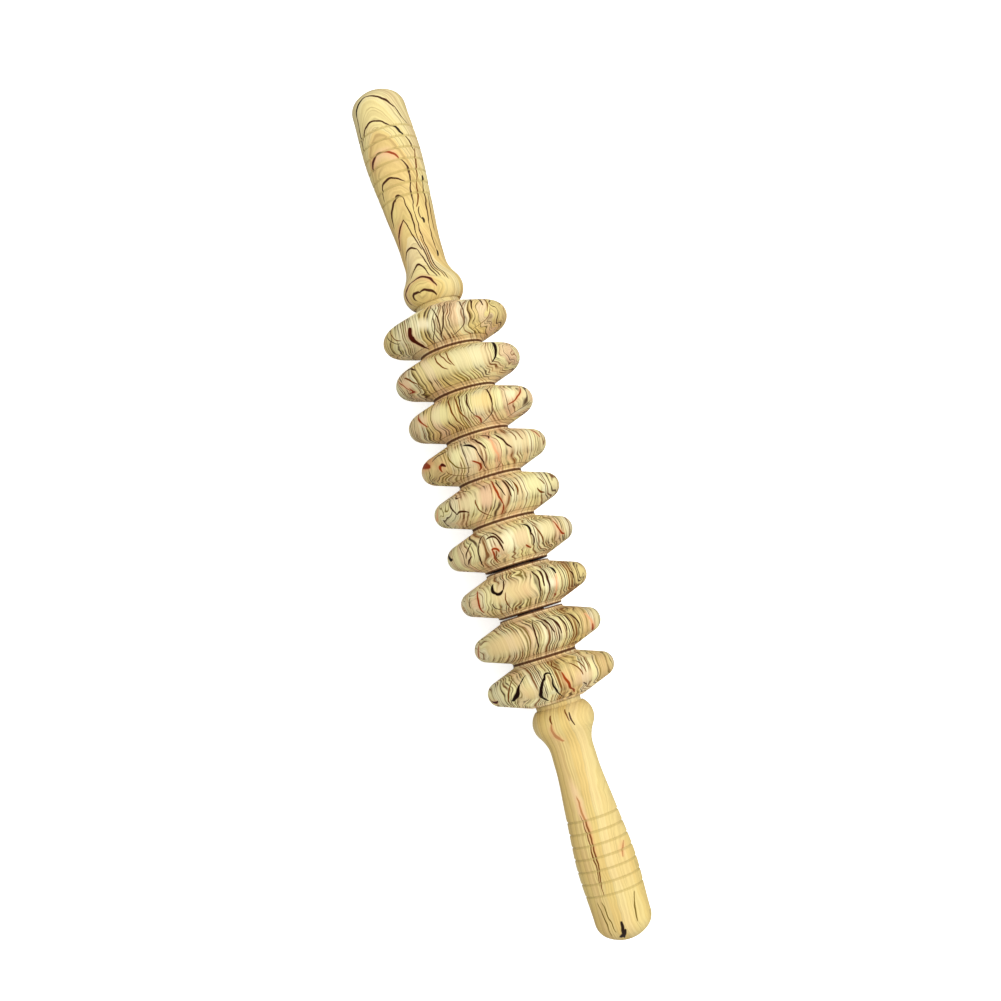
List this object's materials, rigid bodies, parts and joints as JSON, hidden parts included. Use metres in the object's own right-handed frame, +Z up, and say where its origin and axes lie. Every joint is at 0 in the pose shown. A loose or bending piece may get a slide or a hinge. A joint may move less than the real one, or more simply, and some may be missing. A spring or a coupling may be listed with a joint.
{
  "type": "wooden roller massager",
  "caption": "Hand-held wooden massage stick: turned disc rollers spin freely in a row on a dowel between two turned, grooved handles.",
  "frame": {"origin": "middle of the dowel's axis, halfway between the outer ends of the two handles", "axes": "+X along the dowel towards handle_right, +Z up away from the surface that the rollers lie on"},
  "size_m": [0.39, 0.0568, 0.0568],
  "materials": {
    "roller_wood": "satin",
    "handle_wood": "satin",
    "dowel_wood": "matte"
  },
  "bodies": {
    "stick": {"shaft": "dowel_wood", "handle_left": "handle_wood", "handle_right": "handle_wood"},
    "roller_1": {"roller_1": "roller_wood"},
    "roller_2": {"roller_2": "roller_wood"},
    "roller_3": {"roller_3": "roller_wood"},
    "roller_4": {"roller_4": "roller_wood"},
    "roller_5": {"roller_5": "roller_wood"},
    "roller_6": {"roller_6": "roller_wood"},
    "roller_7": {"roller_7": "roller_wood"},
    "roller_8": {"roller_8": "roller_wood"},
    "roller_9": {"roller_9": "roller_wood"}
  },
  "joints": [
    {"name": "roller_1_spin", "type": "hinge", "parent": "stick", "child": "roller_1", "pos_m": [-0.0803, 0, 0], "axis": [1, 0, 0], "continuous": true},
    {"name": "roller_2_spin", "type": "hinge", "parent": "stick", "child": "roller_2", "pos_m": [-0.0604, 0, 0], "axis": [1, 0, 0], "continuous": true},
    {"name": "roller_3_spin", "type": "hinge", "parent": "stick", "child": "roller_3", "pos_m": [-0.0405, 0, 0], "axis": [1, 0, 0], "continuous": true},
    {"name": "roller_4_spin", "type": "hinge", "parent": "stick", "child": "roller_4", "pos_m": [-0.0206, 0, 0], "axis": [1, 0, 0], "continuous": true},
    {"name": "roller_5_spin", "type": "hinge", "parent": "stick", "child": "roller_5", "pos_m": [-0.0007, 0, 0], "axis": [1, 0, 0], "continuous": true},
    {"name": "roller_6_spin", "type": "hinge", "parent": "stick", "child": "roller_6", "pos_m": [0.0192, 0, 0], "axis": [1, 0, 0], "continuous": true},
    {"name": "roller_7_spin", "type": "hinge", "parent": "stick", "child": "roller_7", "pos_m": [0.04, 0, 0], "axis": [1, 0, 0], "continuous": true},
    {"name": "roller_8_spin", "type": "hinge", "parent": "stick", "child": "roller_8", "pos_m": [0.0606, 0, 0], "axis": [1, 0, 0], "continuous": true},
    {"name": "roller_9_spin", "type": "hinge", "parent": "stick", "child": "roller_9", "pos_m": [0.0805, 0, 0], "axis": [1, 0, 0], "continuous": true}
  ]
}
